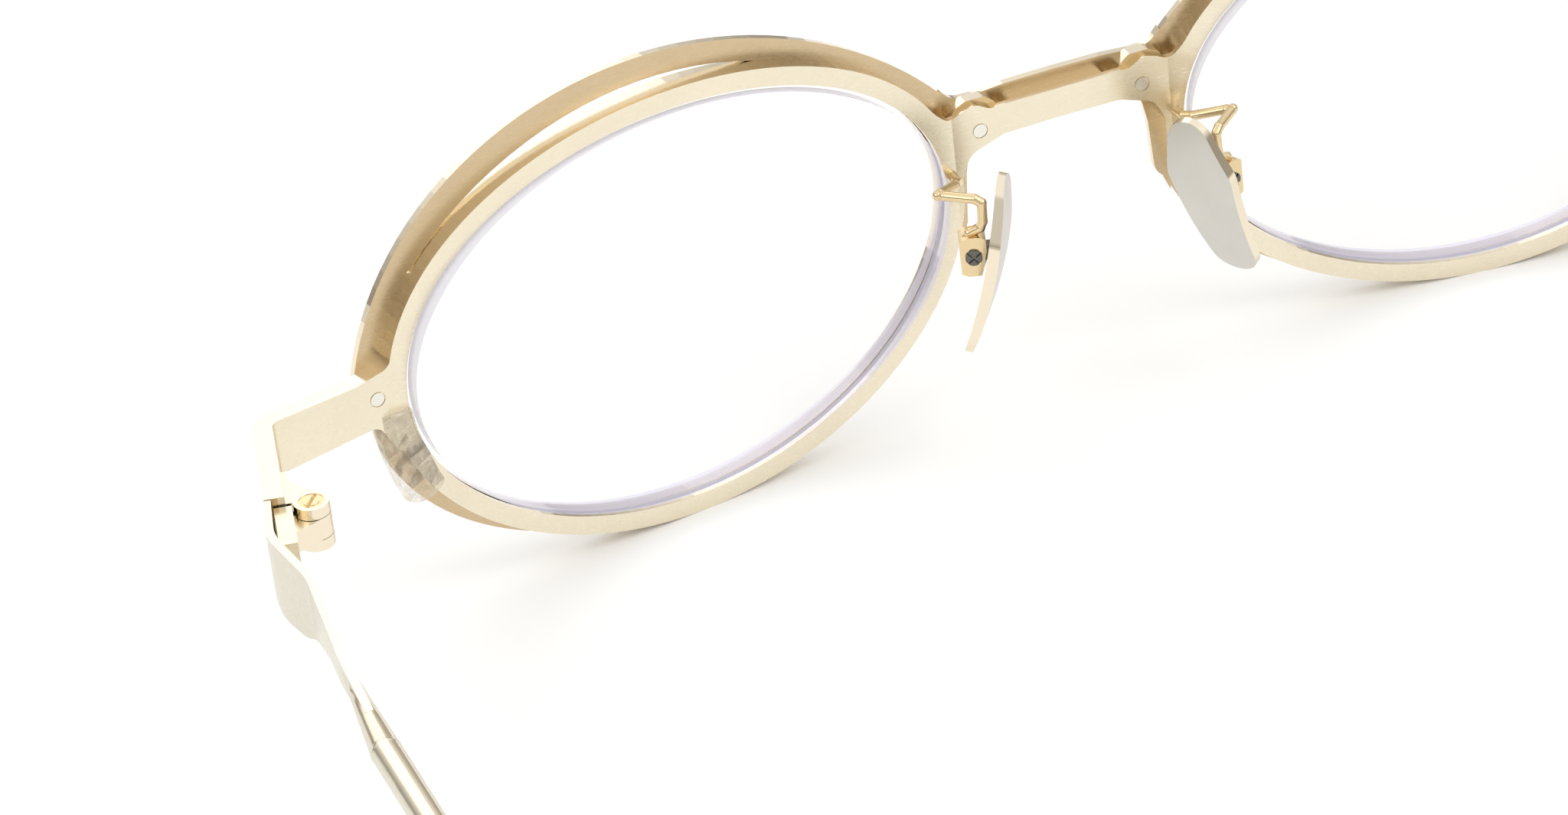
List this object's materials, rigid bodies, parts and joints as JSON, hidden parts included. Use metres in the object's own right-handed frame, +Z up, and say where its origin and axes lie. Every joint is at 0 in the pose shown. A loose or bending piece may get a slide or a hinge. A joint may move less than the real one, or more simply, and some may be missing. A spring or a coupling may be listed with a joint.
{
  "type": "eyeglasses",
  "caption": "Full-rim metal eyeglasses of riveted sheet plates with a brow arch, clear lenses, rocking nose pads and folding temples.",
  "frame": {"origin": "on the resting plane, below the middle of the whole object", "axes": "+Z up, -Y the way the wearer looks, +X the wearer's left"},
  "size_m": [0.1476, 0.1532, 0.0387],
  "materials": {
    "pale_metal": "satin pale champagne plating",
    "gold_metal": "brushed gold plating",
    "rivet_metal": "polished",
    "temple_metal": "satin pale silver",
    "dark_steel": "dark plain steel",
    "pad_metal": "satin silver gray with a bright edge",
    "clear_lens": "clear, polished",
    "tip_plastic": "smooth translucent sleeve",
    "clear_plastic": "clear soft tube with a faint tan tint"
  },
  "bodies": {
    "front": {"rear_plate": "pale_metal", "middle_plate": "gold_metal", "front_plate": "gold_metal", "rim_sleeve": "clear_plastic", "lens_left": "clear_lens", "lens_right": "clear_lens", "end_rivet_left": "rivet_metal", "end_rivet_right": "rivet_metal", "bridge_rivet_left": "rivet_metal", "bridge_rivet_right": "rivet_metal", "arm_rivet_left": "rivet_metal", "arm_rivet_right": "rivet_metal", "front_leaf_left": "pale_metal", "front_leaf_right": "pale_metal", "hinge_screw_left": "gold_metal", "hinge_screw_right": "gold_metal", "pad_arm_left": "gold_metal", "pad_arm_right": "gold_metal", "pad_box_left": "gold_metal", "pad_box_right": "gold_metal", "pad_screw_left": "dark_steel", "pad_screw_right": "dark_steel"},
    "temple_left_body": {"temple_left": "temple_metal", "temple_tip_left": "tip_plastic", "temple_leaf_left": "temple_metal", "temple_rivet_left": "rivet_metal"},
    "pad_left_body": {"nose_pad_left": "pad_metal", "pad_lug_left": "dark_steel"},
    "temple_right_body": {"temple_right": "temple_metal", "temple_tip_right": "tip_plastic", "temple_leaf_right": "temple_metal", "temple_rivet_right": "rivet_metal"},
    "pad_right_body": {"nose_pad_right": "pad_metal", "pad_lug_right": "dark_steel"}
  },
  "joints": [
    {"name": "temple_left_fold", "type": "hinge", "parent": "front", "child": "temple_left_body", "pos_m": [0.06671, -0.05623, 0.01885], "axis": [0, 0, 1], "range_deg": [0, 90]},
    {"name": "temple_right_fold", "type": "hinge", "parent": "front", "child": "temple_right_body", "pos_m": [-0.06671, -0.05623, 0.01885], "axis": [0, 0, -1], "range_deg": [0, 80]},
    {"name": "nose_pad_left_rock", "type": "hinge", "parent": "front", "child": "pad_left_body", "pos_m": [0.01045, -0.06878, 0.01685], "axis": [0.342, 0.9397, 0], "range_deg": [-5, 5]},
    {"name": "nose_pad_right_rock", "type": "hinge", "parent": "front", "child": "pad_right_body", "pos_m": [-0.01045, -0.06878, 0.01685], "axis": [-0.342, 0.9397, 0], "range_deg": [-5, 5]}
  ]
}
